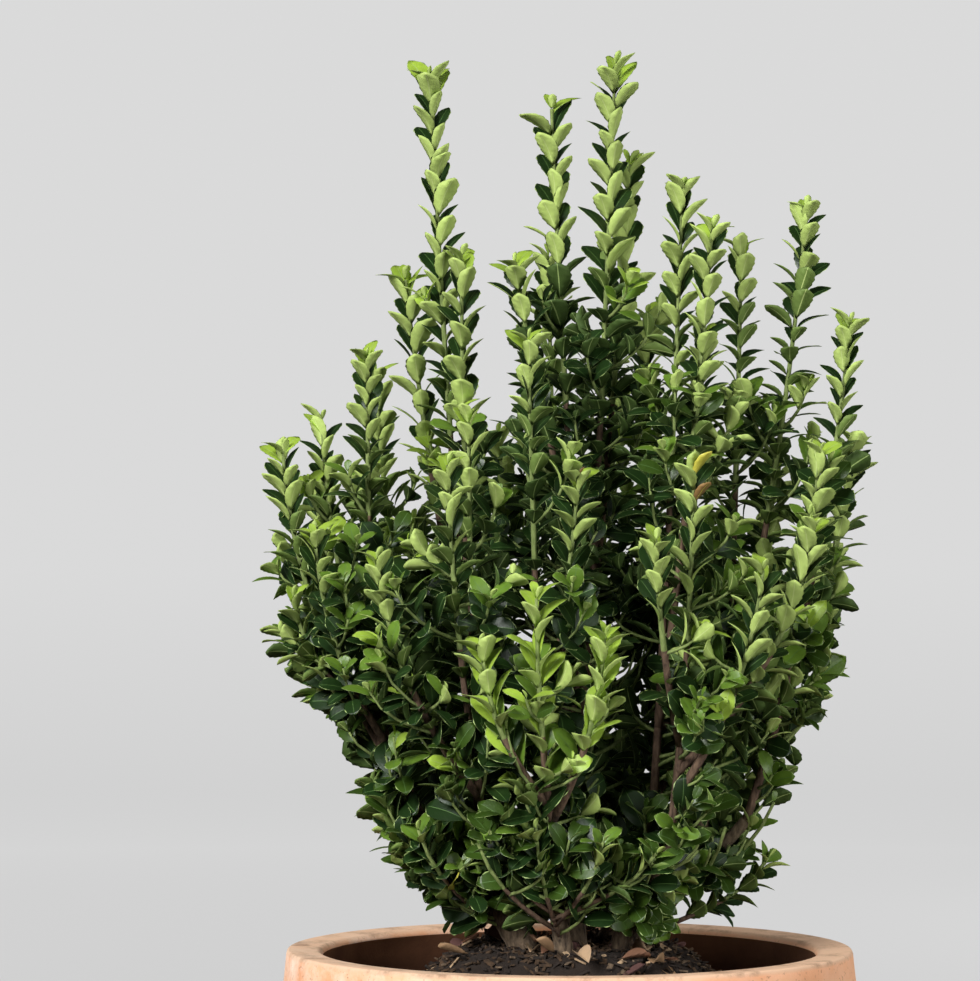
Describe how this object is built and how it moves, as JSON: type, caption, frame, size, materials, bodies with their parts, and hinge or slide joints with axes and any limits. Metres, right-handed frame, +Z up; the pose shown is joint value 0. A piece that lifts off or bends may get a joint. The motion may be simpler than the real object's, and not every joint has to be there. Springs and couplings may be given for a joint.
{
  "type": "potted japanese euonymus",
  "caption": "Evergreen shrub with a vase-shaped crown of upright leafy shoots, standing in a round terracotta pot.",
  "frame": {"origin": "centre of the pot's flat underside", "axes": "+Z up along the pot's axis, -Y towards the side the plant is seen from, +X to the right from that side"},
  "size_m": [0.3836, 0.37, 0.8544],
  "materials": {
    "terracotta": "matte",
    "soil": "matte",
    "bark": "matte",
    "foliage": "satin"
  },
  "bodies": {
    "root": {"bough_back_centre": "bark", "bough_back_left": "bark", "bough_back_low": "bark", "bough_back_right": "bark", "bough_centre": "bark", "bough_front_centre": "bark", "bough_front_left": "bark", "bough_front_mid": "bark", "bough_front_right": "bark", "bough_left": "bark", "bough_left_tall": "bark", "bough_mid_right": "bark", "bough_right": "bark", "bough_right_tall": "bark", "leaves_back_centre": "foliage", "leaves_back_left": "foliage", "leaves_back_low": "foliage", "leaves_back_right": "foliage", "leaves_centre": "foliage", "leaves_front_centre": "foliage", "leaves_front_left": "foliage", "leaves_front_mid": "foliage", "leaves_front_right": "foliage", "leaves_left": "foliage", "leaves_left_tall": "foliage", "leaves_low_sprout": "foliage", "leaves_mid_right": "foliage", "leaves_right": "foliage", "leaves_right_tall": "foliage", "leaves_skirt_back": "foliage", "leaves_skirt_front": "foliage", "leaves_skirt_left": "foliage", "leaves_skirt_right": "foliage", "pot": "terracotta", "soil": "soil", "stem_centre": "bark", "stem_front": "bark", "stem_front_right": "bark", "stem_left": "bark", "stem_left_back": "bark", "stem_right": "bark", "stem_right_back": "bark"}
  },
  "joints": []
}
